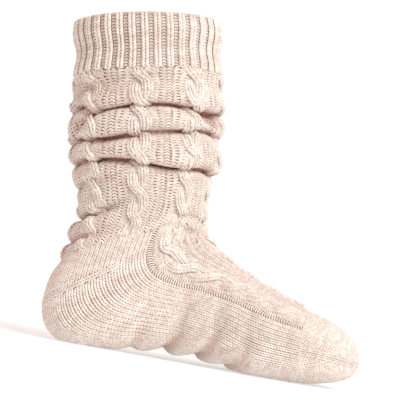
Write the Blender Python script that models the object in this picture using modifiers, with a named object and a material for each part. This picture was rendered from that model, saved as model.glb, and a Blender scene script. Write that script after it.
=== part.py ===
"""Cable-knit slouch sock for the house, standing empty on its sole.

The cuff, leg, heel, foot and toe are knitted in one, so the sock is one hollow
wall, open at the collar and closed at the toe. Lengths are in metres, +X runs
from heel to toe, +Z is up, and the sole rests on Z = 0.
"""

import math
from collections import namedtuple

import bmesh
import bpy

# Foot sizes, measured on the outside of the knitting
FOOT_LENGTH = 0.243
BALL_WIDTH = 0.094
HEEL_WIDTH = 0.074
INSTEP_HEIGHT = 0.097
TOE_TIP_HEIGHT = 0.021

# Leg sizes
ANKLE_FORWARD = 0.063
ANKLE_HEIGHT = 0.108
ANKLE_DEPTH = 0.093
ANKLE_WIDTH = 0.082
LEG_DEPTH = 0.108
LEG_WIDTH = 0.099
SHAFT_LENGTH = 0.142
SHAFT_LEAN = math.radians(10.0)
CUFF_DEPTH = 0.112
CUFF_WIDTH = 0.104
CUFF_HEIGHT = 0.040

# Knitting
WALL = 0.003
FOLD_DEPTH = 0.006
WRINKLE_DEPTH = 0.003

# Mesh steps
RING_STEP = 0.0040
RING_POINTS = 32
TOE_RINGS = 7

YARN_COLOUR = (0.80, 0.66, 0.56, 1.0)

# A cross-section of the sock: its ends in the X-Z plane, its half width, how far
# along from the back end it is widest, and how square its two halves are
Section = namedtuple(
    "Section", "back_x back_z front_x front_z half_width widest front_power back_power")

# Cuff sections, from the edge down: down is a share of CUFF_HEIGHT, depth of
# CUFF_DEPTH, width of CUFF_WIDTH and forward of CUFF_DEPTH
CUFF_SECTIONS = (
    # name, down, depth, width, forward
    ("edge", 0.00, 0.985, 0.985, 0.026),
    ("upper rib", 0.25, 1.010, 1.005, 0.030),
    ("waist", 0.62, 0.965, 0.970, 0.034),
    ("lower rib", 0.96, 1.000, 1.000, 0.034),
)

# Leg sections, down to the ankle: up is a share of SHAFT_LENGTH, depth and
# forward of LEG_DEPTH, and width of LEG_WIDTH
LEG_SECTIONS = (
    # name, up, depth, width, forward
    ("under cuff", 0.62, 1.010, 1.010, 0.028),
    ("middle", 0.40, 1.000, 1.000, 0.020),
    ("lower leg", 0.19, 0.965, 0.940, 0.005),
)

# Heel and foot sections: forward values are shares of FOOT_LENGTH and rise
# values of INSTEP_HEIGHT; a section's width is its heel share of HEEL_WIDTH and
# its ball share of BALL_WIDTH added up
FOOT_SECTIONS = (
    # name, sole_forward, sole_rise, top_forward, top_rise, heel, ball, widest, top_power, sole_power
    ("upper heel", 0.021, 0.620, 0.458, 1.105, 1.04, 0.00, 0.50, 2.1, 2.2),
    ("heel back", 0.000, 0.270, 0.466, 1.035, 1.00, 0.00, 0.46, 2.0, 2.4),
    ("heel corner", 0.024, 0.085, 0.478, 0.995, 0.98, 0.00, 0.43, 2.0, 2.7),
    ("heel seat", 0.090, -0.018, 0.492, 0.955, 0.98, 0.00, 0.40, 2.0, 2.9),
    ("heel front", 0.200, -0.016, 0.516, 0.900, 0.98, 0.00, 0.38, 2.0, 2.9),
    ("arch", 0.360, 0.040, 0.560, 0.825, 0.58, 0.34, 0.38, 2.1, 2.6),
    ("waist", 0.520, 0.044, 0.628, 0.738, 0.22, 0.70, 0.38, 2.2, 2.6),
    ("ball", 0.667, -0.016, 0.722, 0.648, 0.00, 1.00, 0.38, 2.2, 2.8),
    ("toe start", 0.805, -0.014, 0.822, 0.560, 0.00, 0.95, 0.41, 2.3, 2.6),
)

# Creases where the slack leg has dropped: up is a share of SHAFT_LENGTH above
# the ankle, tilt and wave raise the front and the sides by shares of it, reach
# is the half angle that a crease spans about its facing angle in degrees, and
# depth is a share of FOLD_DEPTH
LEG_FOLDS = (
    # name, up, tilt, wave, facing, reach, width, depth
    ("cuff waist", 0.655, 0.010, 0.000, 150, 110, 0.040, 0.45),
    ("first crease", 0.570, -0.020, 0.006, 0, 360, 0.042, 0.85),
    ("second crease", 0.430, 0.015, 0.007, 0, 360, 0.042, 0.80),
    ("third crease", 0.270, -0.015, 0.007, 0, 360, 0.047, 1.00),
    ("back crease", 0.060, 0.040, 0.000, 165, 105, 0.050, 0.80),
    ("heel pocket", -0.130, 0.030, 0.000, 180, 75, 0.055, 0.75),
    ("instep crease", 0.010, -0.060, 0.000, 0, 75, 0.040, 0.35),
)

# Wrinkles across the arch: forward and width are shares of FOOT_LENGTH and depth
# of WRINKLE_DEPTH
SOLE_WRINKLES = (
    # name, forward, width, depth
    ("heel wrinkle", 0.300, 0.022, 0.50),
    ("arch wrinkle", 0.400, 0.022, 0.80),
    ("waist wrinkle", 0.495, 0.020, 0.80),
    ("ball wrinkle", 0.580, 0.022, 0.55),
)


def clear_scene():
    """Remove every object that the scene holds."""
    for item in list(bpy.data.objects):
        bpy.data.objects.remove(item, do_unlink=True)


def shaft_direction():
    """Direction of the leg's axis, up and leaning back over the heel."""
    return -math.sin(SHAFT_LEAN), math.cos(SHAFT_LEAN)


def shaft_section(height, depth, width, forward, power=2.1):
    """Section square to the leg's axis, at a height above the ankle."""
    up_x, up_z = shaft_direction()
    front_x, front_z = up_z, -up_x
    middle_x = ANKLE_FORWARD + height * up_x + forward * front_x
    middle_z = ANKLE_HEIGHT + height * up_z + forward * front_z
    half = depth / 2.0
    return Section(
        middle_x - half * front_x, middle_z - half * front_z,
        middle_x + half * front_x, middle_z + half * front_z,
        width / 2.0, 0.5, power, power)


def main_sections():
    """The named sections in order, from the cuff's edge to the start of the toe."""
    sections = []
    for name, down, depth, width, forward in CUFF_SECTIONS:
        height = SHAFT_LENGTH - down * CUFF_HEIGHT
        sections.append(shaft_section(
            height, depth * CUFF_DEPTH, width * CUFF_WIDTH, forward * CUFF_DEPTH))
    for name, up, depth, width, forward in LEG_SECTIONS:
        sections.append(shaft_section(
            up * SHAFT_LENGTH, depth * LEG_DEPTH, width * LEG_WIDTH, forward * LEG_DEPTH))
    sections.append(shaft_section(0.0, ANKLE_DEPTH, ANKLE_WIDTH, 0.0))
    for row in FOOT_SECTIONS:
        name, sole_forward, sole_rise, top_forward, top_rise, heel, ball, widest, top, sole = row
        sections.append(Section(
            sole_forward * FOOT_LENGTH, sole_rise * INSTEP_HEIGHT,
            top_forward * FOOT_LENGTH, top_rise * INSTEP_HEIGHT,
            (heel * HEEL_WIDTH + ball * BALL_WIDTH) / 2.0, widest, top, sole))
    return sections


def middle_distance(first, second):
    """Distance between the middles of two sections."""
    gap_x = (second.back_x + second.front_x - first.back_x - first.front_x) / 2.0
    gap_z = (second.back_z + second.front_z - first.back_z - first.front_z) / 2.0
    return math.hypot(gap_x, gap_z)


def section_marks(sections):
    """Distance of each section from the first, along the middles."""
    marks = [0.0]
    for first, second in zip(sections, sections[1:]):
        marks.append(marks[-1] + middle_distance(first, second))
    return marks


def slope_at(marks, values, index):
    """Slope of a smooth curve through the values, at one of its marks."""
    low = max(index - 1, 0)
    high = min(index + 1, len(marks) - 1)
    return (values[high] - values[low]) / (marks[high] - marks[low])


def smooth_section(marks, sections, distance):
    """Section at a distance along the sock, smooth through the named sections."""
    index = 0
    while index < len(marks) - 2 and distance > marks[index + 1]:
        index += 1
    span = marks[index + 1] - marks[index]
    share = (distance - marks[index]) / span
    from_first = 2.0 * share ** 3 - 3.0 * share ** 2 + 1.0
    first_slope = share ** 3 - 2.0 * share ** 2 + share
    last_slope = share ** 3 - share ** 2
    blended = []
    for field in range(len(Section._fields)):
        values = [section[field] for section in sections]
        blended.append(
            from_first * values[index]
            + (1.0 - from_first) * values[index + 1]
            + first_slope * span * slope_at(marks, values, index)
            + last_slope * span * slope_at(marks, values, index + 1))
    return Section(*blended)


def toe_section(start, share):
    """Section of the rounded toe cap, from its start (0) to its tip (1)."""
    shrink = (1.0 - 0.22 * share) * (1.0 - share ** 2.4) ** (1.0 / 2.4)
    middle_x = (start.back_x + start.front_x) / 2.0
    middle_z = (start.back_z + start.front_z) / 2.0
    tip_x = FOOT_LENGTH
    middle_x += share * (tip_x - middle_x)
    middle_z += share * share * (TOE_TIP_HEIGHT - middle_z)
    half_x = (start.front_x - start.back_x) / 2.0 * shrink
    half_z = (start.front_z - start.back_z) / 2.0 * shrink
    return Section(
        middle_x - half_x, middle_z - half_z, middle_x + half_x, middle_z + half_z,
        start.half_width * shrink, start.widest, start.front_power, start.back_power)


def all_sections():
    """Every section that the wall is lofted through, from cuff to toe."""
    named = main_sections()
    marks = section_marks(named)
    rings = round(marks[-1] / RING_STEP)
    sections = []
    for ring in range(rings + 1):
        sections.append(smooth_section(marks, named, marks[-1] * ring / rings))
    for ring in range(1, TOE_RINGS + 1):
        share = math.sin(math.radians(88.0) * ring / TOE_RINGS)
        sections.append(toe_section(named[-1], share))
    return sections


def signed_power(value, power):
    """Value raised to a power, with its sign kept."""
    return math.copysign(abs(value) ** power, value)


def section_frame(section):
    """Widest point of a section, its direction to the front and its depth."""
    depth_x = section.front_x - section.back_x
    depth_z = section.front_z - section.back_z
    depth = math.hypot(depth_x, depth_z)
    centre_x = section.back_x + section.widest * depth_x
    centre_z = section.back_z + section.widest * depth_z
    return centre_x, centre_z, depth_x / depth, depth_z / depth, depth


def fold_offset(x, z, angle):
    """Outward offset of the slack leg's folds at a point; creases are negative."""
    up_x, up_z = shaft_direction()
    up = ((x - ANKLE_FORWARD) * up_x + (z - ANKLE_HEIGHT) * up_z) / SHAFT_LENGTH
    offset = 0.0
    for name, height, tilt, wave, facing, reach, width, depth in LEG_FOLDS:
        turn = math.radians(facing)
        away = abs(math.atan2(math.sin(angle - turn), math.cos(angle - turn)))
        away = min(away, abs(math.atan2(math.sin(-angle - turn), math.cos(-angle - turn))))
        share = away / math.radians(reach)
        fade = max(0.0, 1.0 - share * share) ** 2 if reach < 360 else 1.0
        centre = height + tilt * math.cos(angle) + wave * math.cos(3.0 * angle)
        gap = (up - centre) / width
        crease = math.exp(-gap * gap)
        bulge = math.exp(-((gap - 1.7) / 1.3) ** 2)
        offset += fade * depth * (0.45 * bulge - crease)
    return FOLD_DEPTH * offset


def wrinkle_offset(x, angle):
    """Outward offset of the wrinkles across the arch, on the sole side only."""
    under = max(0.0, -math.cos(angle)) ** 2
    offset = 0.0
    for name, forward, width, depth in SOLE_WRINKLES:
        gap = (x / FOOT_LENGTH - forward) / width
        offset -= depth * math.exp(-gap * gap)
    return WRINKLE_DEPTH * under * offset


def section_point(section, angle):
    """Point of the outer surface; angle 0 is the front, 180 degrees the back."""
    centre_x, centre_z, front_x, front_z, depth = section_frame(section)
    ahead = math.cos(angle)
    if ahead >= 0.0:
        reach = (1.0 - section.widest) * depth
        power = section.front_power
    else:
        reach = section.widest * depth
        power = section.back_power
    forward = reach * signed_power(ahead, 2.0 / power)
    side = section.half_width * signed_power(math.sin(angle), 2.0 / power)
    x = centre_x + forward * front_x
    z = centre_z + forward * front_z
    from_centre = math.hypot(forward, side)
    offset = (fold_offset(x, z, angle) + wrinkle_offset(x, angle)) / max(from_centre, 0.001)
    x += offset * forward * front_x
    z += offset * forward * front_z
    side += offset * side
    return x, side, max(z, 0.0)


def knitted_shell():
    """Outer surface of the sock, open at the collar and closed at the toe tip."""
    rings = []
    for section in all_sections():
        ring = []
        for step in range(RING_POINTS):
            ring.append(section_point(section, 2.0 * math.pi * step / RING_POINTS))
        rings.append(ring)
    mesh = bmesh.new()
    vertices = [[mesh.verts.new(point) for point in ring] for ring in rings]
    for upper, lower in zip(vertices, vertices[1:]):
        for step in range(RING_POINTS):
            after = (step + 1) % RING_POINTS
            mesh.faces.new((upper[step], lower[step], lower[after], upper[after]))
    tip = mesh.verts.new((FOOT_LENGTH, 0.0, TOE_TIP_HEIGHT))
    last = vertices[-1]
    for step in range(RING_POINTS):
        mesh.faces.new((last[step], tip, last[(step + 1) % RING_POINTS]))
    return mesh


def centre_on_origin(mesh):
    """Move the surface so that its bounding box is centred over the origin."""
    low = min(vertex.co.x for vertex in mesh.verts)
    high = max(vertex.co.x for vertex in mesh.verts)
    for vertex in mesh.verts:
        vertex.co.x -= (low + high) / 2.0


def yarn_material():
    """Matte cream heather yarn."""
    material = bpy.data.materials.new("cream_yarn")
    material.use_nodes = True
    shader = material.node_tree.nodes["Principled BSDF"]
    shader.inputs["Base Color"].default_value = YARN_COLOUR
    shader.inputs["Roughness"].default_value = 0.9
    shader.inputs["Metallic"].default_value = 0.0
    material.diffuse_color = YARN_COLOUR
    return material


def build_sock(collection):
    """Loft the knitted wall and give it its thickness, inward from the outside."""
    surface = knitted_shell()
    centre_on_origin(surface)
    mesh = bpy.data.meshes.new("knitted_sock")
    surface.to_mesh(mesh)
    surface.free()
    mesh.shade_smooth()
    sock = bpy.data.objects.new("knitted_sock", mesh)
    sock.data.materials.append(yarn_material())
    collection.objects.link(sock)
    wall = sock.modifiers.new("wall", "SOLIDIFY")
    wall.thickness = WALL
    wall.offset = -1.0
    return sock


def main():
    """Build the sock in its own collection."""
    clear_scene()
    collection = bpy.data.collections.new("slipper_sock")
    bpy.context.scene.collection.children.link(collection)
    build_sock(collection)


main()
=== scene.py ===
"""Looks of the cable-knit slouch sock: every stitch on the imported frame, and its studio."""

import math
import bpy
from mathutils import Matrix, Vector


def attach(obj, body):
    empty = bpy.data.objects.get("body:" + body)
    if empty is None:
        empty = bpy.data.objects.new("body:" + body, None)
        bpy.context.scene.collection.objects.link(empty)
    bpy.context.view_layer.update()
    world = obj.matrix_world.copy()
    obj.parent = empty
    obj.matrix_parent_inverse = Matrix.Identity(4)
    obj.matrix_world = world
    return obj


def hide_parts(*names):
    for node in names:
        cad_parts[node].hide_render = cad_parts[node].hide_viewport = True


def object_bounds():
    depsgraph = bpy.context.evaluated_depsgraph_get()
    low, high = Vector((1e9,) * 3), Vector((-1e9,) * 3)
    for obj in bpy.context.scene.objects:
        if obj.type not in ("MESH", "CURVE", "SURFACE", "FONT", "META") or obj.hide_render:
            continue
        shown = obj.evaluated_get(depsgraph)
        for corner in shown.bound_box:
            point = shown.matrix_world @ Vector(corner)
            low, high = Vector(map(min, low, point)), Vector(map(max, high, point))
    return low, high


bl_info = {
    "name": "Cable-Knit Slouch Sock",
    "version": (1, 0, 0),
    "blender": (4, 5, 0),
    "location": "View3D > Sidebar > Sock",
    "description": "Knits the slouch sock stitch by stitch over its packed frame",
    "category": "Object",
}

from collections import namedtuple

import bmesh
import bpy
import numpy as np
from bpy.props import FloatProperty, FloatVectorProperty, IntProperty, PointerProperty
from mathutils import Matrix, Vector

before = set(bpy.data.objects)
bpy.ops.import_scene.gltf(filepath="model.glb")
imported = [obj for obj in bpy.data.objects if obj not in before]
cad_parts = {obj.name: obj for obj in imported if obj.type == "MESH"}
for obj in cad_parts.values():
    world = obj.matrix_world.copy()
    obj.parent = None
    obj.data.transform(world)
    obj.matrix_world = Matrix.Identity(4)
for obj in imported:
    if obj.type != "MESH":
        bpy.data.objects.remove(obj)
CAD_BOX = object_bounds()
SOCK_NODE = "knitted_sock"
MILLIMETRE = 0.001

# Columns of the surface grid round the sock, its row spacing, and the rows of the toe cap
GRID_COLUMNS = 288
GRID_STEP = 0.001
TOE_ROWS = 36

# Points that trace half a section before its columns are spaced evenly along it
HALF_RING_POINTS = 241

# Cuff sections, from the edge down: down is a share of the cuff's height, depth
# and forward of its depth, and width of its width
CUFF_SECTIONS = (
    # name, down, depth, width, forward
    ("edge", 0.00, 0.985, 0.985, 0.026),
    ("upper rib", 0.25, 1.010, 1.005, 0.030),
    ("waist", 0.62, 0.965, 0.970, 0.034),
    ("lower rib", 0.96, 1.000, 1.000, 0.034),
)

# Leg sections, down to the ankle: up is a share of the shaft's length, depth and
# forward of the leg's depth, and width of its width
LEG_SECTIONS = (
    # name, up, depth, width, forward
    ("under cuff", 0.62, 1.010, 1.010, 0.028),
    ("middle", 0.40, 1.000, 1.000, 0.020),
    ("lower leg", 0.19, 0.965, 0.940, 0.005),
)

# Where a section of the shaft is widest, as a share of its depth, and the power of
# its outline, of which 2 is an ellipse
SHAFT_WIDEST = 0.5
SHAFT_POWER = 2.1

# Heel and foot sections: forward values are shares of the foot's length and rise
# values of the instep's height; a section's width is its heel share of the heel
# width and its ball share of the ball width added up
FOOT_SECTIONS = (
    # name, sole_forward, sole_rise, top_forward, top_rise, heel, ball, widest, top_power, sole_power
    ("upper heel", 0.021, 0.620, 0.458, 1.105, 1.04, 0.00, 0.50, 2.1, 2.2),
    ("heel back", 0.000, 0.270, 0.466, 1.035, 1.00, 0.00, 0.46, 2.0, 2.4),
    ("heel corner", 0.024, 0.085, 0.478, 0.995, 0.98, 0.00, 0.43, 2.0, 2.7),
    ("heel seat", 0.090, -0.018, 0.492, 0.955, 0.98, 0.00, 0.40, 2.0, 2.9),
    ("heel front", 0.200, -0.016, 0.516, 0.900, 0.98, 0.00, 0.38, 2.0, 2.9),
    ("arch", 0.360, 0.040, 0.560, 0.825, 0.58, 0.34, 0.38, 2.1, 2.6),
    ("waist", 0.520, 0.044, 0.628, 0.738, 0.22, 0.70, 0.38, 2.2, 2.6),
    ("ball", 0.667, -0.016, 0.722, 0.648, 0.00, 1.00, 0.38, 2.2, 2.8),
    ("toe start", 0.805, -0.014, 0.822, 0.560, 0.00, 0.95, 0.41, 2.3, 2.6),
)

# Narrowing of the toe cap before its end, the power of its outline, and the angle in
# degrees, of 90 to its tip, at which its last section stops short of a point
TOE_TAPER = 0.22
TOE_POWER = 2.4
TOE_END_ANGLE = 89.5

# Dropped folds of the leg. up is a share of the shaft's length above the ankle.
# front and side raise the crease at the front and on the right side, and wave
# ripples it, all by shares of that length. facing and reach in degrees say where
# round the leg a short crease lies. Widths and depths are in millimetres.
LEG_FOLDS = (
    # name, up, front, side, wave, facing, reach, groove, depth, bulge, droop
    ("cuff waist", 0.650, 0.012, 0.000, 0.004, 195, 110, 4.5, 3.8, 1.0, 1.5),
    ("first crease", 0.540, -0.010, 0.004, 0.006, 0, 360, 3.8, 8.0, 3.4, 7.0),
    ("diagonal ridge", 0.395, 0.000, 0.147, 0.000, 222, 46, 3.0, 4.4, 2.6, 4.5),
    ("second crease", 0.395, 0.014, 0.000, 0.006, 0, 360, 3.8, 8.4, 3.6, 7.0),
    ("front pucker", 0.480, -0.020, 0.050, 0.000, 335, 40, 2.4, 3.4, 1.8, 3.0),
    ("third crease", 0.225, -0.028, 0.026, 0.006, 0, 360, 4.2, 9.4, 3.8, 7.5),
    ("lower pucker", 0.130, 0.020, 0.040, 0.000, 210, 50, 2.6, 3.6, 2.0, 3.0),
    ("fourth crease", 0.020, 0.050, 0.010, 0.000, 190, 85, 4.0, 7.0, 3.2, 5.5),
    ("heel pocket", -0.120, 0.040, 0.020, 0.000, 185, 80, 4.2, 6.6, 3.0, 4.5),
    # The heel dent is a real dent, made wide so that the painted shade of its trough darkens the heel's
    # top
    ("heel dent", -0.225, 0.030, 0.010, 0.000, 180, 84, 8.5, 3.4, 0.0, 0.0),
    ("instep smile", 0.000, -0.070, 0.020, 0.000, 0, 80, 2.6, 3.0, 1.8, 2.0),
    ("instep fold", -0.085, -0.060, 0.030, 0.000, 0, 70, 2.6, 2.4, 1.4, 1.2),
)

# Place above a crease and breadth of its swell and of its sag, in widths of its groove
SWELL = (2.1, 1.75)
SAG = (1.5, 1.6)

# Ripples in the depth of a fold and in its height: waves round the leg, and shift with
# height; and how softly a short crease fades out at its ends
FOLD_RIPPLES = (
    # share of the depth, waves, shift
    (0.22, 2.0, 17.0),
    (0.14, 5.0, 31.0),
)
CREASE_WAVES = 3.0
CREASE_SHIFT = 9.0
CREASE_FADE = 1.5

# Uneven lumps of the slack leg in millimetres, and between which shares of the shaft's
# length they come in and fade out
LUMP = 0.5
SMALL_LUMP = 0.35
LUMPS_COME_IN = (-0.10, 0.05)
LUMPS_FADE_OUT = (0.65, 0.70)

# Wrinkles under the arch: forward, slant up the sides and width are shares of the
# foot's length, and depth is in millimetres
SOLE_WRINKLES = (
    # name, forward, slant, width, depth
    ("heel wrinkle", 0.290, 0.048, 0.022, 2.4),
    ("arch wrinkle", 0.385, 0.066, 0.022, 4.6),
    ("waist wrinkle", 0.480, 0.078, 0.020, 4.6),
    ("ball wrinkle", 0.570, 0.084, 0.022, 3.4),
)

# How far up the sides the wrinkles reach, how strong they are and how fast they fade
# there, and the swell beside a wrinkle: its height as a share of the wrinkle's depth,
# and its place and breadth in widths of the wrinkle
WRINKLE_REACH = 0.85
WRINKLE_STRENGTH = 0.56
WRINKLE_FADE = 1.2
WRINKLE_SWELL = (0.35, 1.7, 1.1)

# Depth of a fold in millimetres at which its yarn takes the full painted shade, a mix
# towards the shade brown that stands for the shade in the crease
SHADED_DEPTH = 9.0

# Where the heel ends, as a share of the way from the heel seat to the heel front
HEEL_END = 0.4

# Passes that soften the ways in which the inside of the wall lies under its outside
WALL_PASSES = 14

# Steps to a row of the grid when a wale is measured, their least number, and the shares
# of the way round at which wales are measured to count rows, all round or at the sides
FINE_STEPS = 1.5
LEAST_STEPS = 8
MEASURED_WALES = (0.05, 0.25, 0.45, 0.55, 0.75, 0.95)
SIDE_WALES = (0.25, 0.75)

# Rows of the grid between rings of the wall under the stitches, and on the toe cap
GROUND_STEP = 1.6
TOE_GROUND_STEP = 3.0

# Middle of each cable, in stitches from the front of the sock, and wales of a cable
LEG_CABLES = (0, 9, 18, 27, 36, 45, 54, 63)
INSTEP_CABLES = (-9, 0, 9)
CABLE_STITCHES = 4

# Purl wales beside the outer instep cables; the outermost is a ladder of bars
EDGE_STITCHES = 2

# Distance of the first crossing above the start of the leg's and the instep's cables
LEG_CABLE_LEAD = 0.004
INSTEP_CABLE_LEAD = 0.012

# Distance over which a cable rises out of the fabric at its ends
CABLE_END = 0.005

# Height of a cable's strand between its crossings, how full it bends over and under the
# other strand, how far it leans to its side, and the step that finds that side
STRAND_LIFT = 0.0005
STRAND_OVER = 0.75
STRAND_UNDER = 0.9
STRAND_LEAN = 0.35
SIDE_STEP = 0.002

# How fast a strand crosses; at 0 its path would be a plain wave
CROSSING_SHARPNESS = 1.7

# Outline of the solid bed under a strand: stitches aside, and drop in millimetres
# below the strand, or none for an edge that lies on the ground
BED_OUTLINE = ((-1.02, None), (-0.9, 0.9), (-0.5, 0.25), (0.5, 0.25), (0.9, 0.9), (1.02, None))

# How far a crossing pulls the wale beside it, in stitches, over how many wales that
# fades, and how much a pulled wale widens
CABLE_PULL = 0.55
PULL_FADE = 1.1
PULL_WIDENING = 0.75

# Stitches by which each wale of a panel hangs lower than the one nearer its cable
PANEL_SLANT = 0.8

# Rows of the surface by which the heel reaches up over the leg's end, and the toe
# back over the foot's
HEEL_OVERLAP = 1.2
TOE_OVERLAP = 1.0

# Depths of parts of the knitting under the surface that the stitches stand on, and how
# much deeper the inside lies where a crease is deepest
GROUND_SINK = 0.0006
CUFF_GROUND_SINK = 0.0013
UNDER_CABLE_SINK = 0.0006
CABLE_END_SINK = 0.0008
BED_SINK = 0.0012
LADDER_SINK = 0.0002
CREASE_SINK = 0.0022

# Widths of some stitches, as shares of the room in their round, and how much of its
# row a bar of the ladder fills
RIB_WIDTH = 1.30
RIB_GAP_WIDTH = 0.85
INSIDE_RIB_WIDTH = 1.15
UNDER_CABLE_WIDTH = 1.1
CABLE_WIDTH = 1.1
LADDER_WIDTH = 0.92
LADDER_FILL = 0.8

# How plump the stitches of a rib and of a purl panel are, next to plain ones
RIB_PLUMPNESS = 1.4
PURL_PLUMPNESS = 0.9

# Painted shade that some stitches take even on flat fabric, from 0 to 1, standing for the shade
# in the rib gaps, on the cuff's edge, on the ladder and on the purl panels; and the share of a
# crease's painted shade that the inside takes
RIB_GAP_SHADE = 0.26
EDGE_SHADE = 0.55
LADDER_SHADE = 0.06
PANEL_SHADE = 0.18
INSIDE_SHADE = 0.3

# Rounds of stitches that bind the cuff's edge: lift off the surface, and row; with their
# width, and how far they face out for each step that they face up
CUFF_EDGE_ROUNDS = ((-0.0002, 0.4), (-0.0014, 0.0))
CUFF_EDGE_WIDTH = 0.0021
CUFF_EDGE_OUTWARD = 0.5

# Lift, and width in rows, of the line of stitches along the heel's mitre, and the part
# of a row that stays free beside it
MITRE_LIFT = 0.0003
MITRE_WIDTH = 1.9
MITRE_ROOM = 0.35

# Room in stitches between the toe's wales and its side seams, the lift of the seams, the
# spacing of their two wales in stitches, the pitch of their stitches in rows, and the
# furthest that a seam's wale may be round the sock from it
TOE_SEAM_ROOM = 0.55
TOE_SEAM_LIFT = 0.0005
TOE_SEAM_SPACING = 0.96
TOE_SEAM_PITCH = 1.15
TOE_SEAM_REACH = 0.15

# Steps in which the toe is measured from start to tip, and the fewest that a wale needs
TOE_STEPS = 200
LEAST_TOE_STEPS = 4

# Length in stitches of a streak of one shade in the marled yarn, how much the streaks
# and the single stitches differ in tint, the size of the chart of streaks, its seed for
# each part, and the seeds that the single stitches of a part's wales add to it
STREAK_STITCHES = 3.6
STREAK_CONTRAST = 0.95
STITCH_CONTRAST = 0.75
STREAK_ROWS = 480
STREAK_COLUMNS = 20
STREAK_SEEDS = {"cuff": 3, "edge": 4, "inside": 6, "leg": 5, "heel": 7, "foot": 8, "instep": 9}
FIRST_WALE_SEED = 1000
WALE_SEEDS = 997

# Height under which a stitch is left out
SHORTEST_STITCH = 0.0001

# The four colours that a marled yarn takes, and how they come in over its main one: the
# most of a colour is there where the mask reaches its second value. Shade is painted shade,
# not a colour of the yarn: the painted shade mask brings it in where stitches lie in creases and gaps
PLIES = ("Cream", "Pale", "Tan", "Shade")
HEATHER_STEPS = (
    # mask, from, to, most, ply
    ("flecks", 0.50, 0.66, 1.00, "Tan"),
    ("flecks", 0.48, 0.36, 1.00, "Pale"),
    ("tint", 0.50, 1.00, 0.22, "Tan"),
    ("tint", 0.50, 0.00, 0.42, "Pale"),
    ("patches", 0.50, 0.75, 0.12, "Tan"),
    ("painted_shade", 0.10, 0.90, 0.85, "Shade"),
)

# Scales of the flecks, patches and fuzz of the yarn, the scale at which a wave texture
# has one band to each unit, and the heights of the fuzz and of the loops on the inside
FLECK_SCALE = 900.0
PATCH_SCALE = 70.0
FUZZ_SCALE = 2600.0
BAND_SCALE = 2.0 * math.pi / 20.0
FUZZ_HEIGHT = 0.0006
LOOP_HEIGHT = 0.0012

# Studio light: warm and soft from all round, and a broad cool window to the right
AMBIENT_COLOUR = (1.0, 0.825, 0.78, 1.0)
AMBIENT_STRENGTH = 0.81
BACKDROP_STRENGTH = 1.1
FLOOR_GLOW = 0.50
FLOOR_RADIUS = 12.0
WINDOW_COLOUR = (0.88, 0.985, 1.0)
WINDOW_STRENGTH = 2.32
WINDOW_SPREAD = math.radians(34.0)
WINDOW_SIDE = Vector((0.84, -0.86, 0.74))

# Camera: rolled, so that the leaning leg stands upright in the frame
CAMERA_AIM = Vector((-0.0105, 0.0, 0.1225))
CAMERA_AZIMUTH = math.radians(4.0)
CAMERA_DISTANCE = 1.25
CAMERA_HEIGHT = 0.050
CAMERA_ROLL = math.radians(10.0)
CAMERA_LENS = 149.0


def size_setting(name, default, description):
    """A length that a user may change."""
    return FloatProperty(name=name, description=description, default=default, unit="LENGTH")


def colour_setting(name, default, description):
    """A colour that a user may change."""
    return FloatVectorProperty(
        name=name, description=description, subtype="COLOR", size=3, default=default)


class SockShape(bpy.types.PropertyGroup):
    """Sizes of the sock, measured on the outside of the knitting."""

    foot_length: size_setting("Foot Length", 0.243, "Heel to toe, outside")
    ball_width: size_setting("Ball Width", 0.094, "Width over the ball")
    heel_width: size_setting("Heel Width", 0.074, "Width over the heel")
    instep_height: size_setting("Instep Height", 0.097, "Floor to the bend of the ankle")
    toe_tip_height: size_setting("Toe Tip Height", 0.021, "Floor to the toe's tip")
    ankle_forward: size_setting("Ankle Forward", 0.063, "Back of the heel to the ankle's middle")
    ankle_height: size_setting("Ankle Height", 0.108, "Floor to the ankle's middle")
    ankle_depth: size_setting("Ankle Depth", 0.093, "Front to back over the ankle")
    ankle_width: size_setting("Ankle Width", 0.082, "Side to side over the ankle")
    leg_depth: size_setting("Leg Depth", 0.108, "Front to back over the leg")
    leg_width: size_setting("Leg Width", 0.099, "Side to side over the leg")
    shaft_length: size_setting("Shaft Length", 0.142, "Ankle to the cuff's edge")
    shaft_lean: FloatProperty(
        name="Shaft Lean", description="Lean of the leg, back over the heel",
        default=math.radians(10.0), unit="ROTATION")
    cuff_depth: size_setting("Cuff Depth", 0.112, "Front to back over the cuff")
    cuff_width: size_setting("Cuff Width", 0.104, "Side to side over the cuff")
    cuff_height: size_setting("Cuff Height", 0.040, "Height of the ribbed cuff")


class KnitGauge(bpy.types.PropertyGroup):
    """Stitch counts and yarn sizes."""

    stitches_round: IntProperty(
        name="Stitches Round", description="Stitches in each round of knitting", default=72)
    row_height: size_setting("Row Height", 0.0022, "Height of a row of stitches")
    yarn_thickness: size_setting("Yarn Thickness", 0.0012, "How far a stitch stands out")
    wall: size_setting("Wall", 0.003, "Thickness of the knitting")
    rib_lift: size_setting("Rib Lift", 0.0008, "How far a rib stands out")
    rib_gap_depth: size_setting("Rib Gap Depth", 0.0005, "How far the gap between ribs sinks")
    cable_cross: size_setting("Cable Crossing", 0.0203, "Distance between crossings of a cable")
    cable_lift: size_setting("Cable Lift", 0.0021, "Height of a cable's upper strand")
    cable_sink: size_setting("Cable Sink", 0.0012, "How far the lower strand dips at a crossing")


class YarnColours(bpy.types.PropertyGroup):
    """Colours of the marled yarn, of the painted shade on it, and of the floor under it."""

    cream: colour_setting("Cream", (0.81, 0.722, 0.655), "Main colour of the yarn")
    pale: colour_setting("Pale", (0.93, 0.89, 0.85), "Lighter ply of the yarn")
    tan: colour_setting("Tan", (0.56, 0.378, 0.288), "Darker ply of the yarn")
    # Painted shade: a brown that stands for the shade in creases and between the stitches
    shade: colour_setting("Shade", (0.41, 0.165, 0.105), "Yarn deep between the stitches")
    floor: colour_setting("Floor", (0.55, 0.55, 0.55), "Colour of the studio floor")


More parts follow.
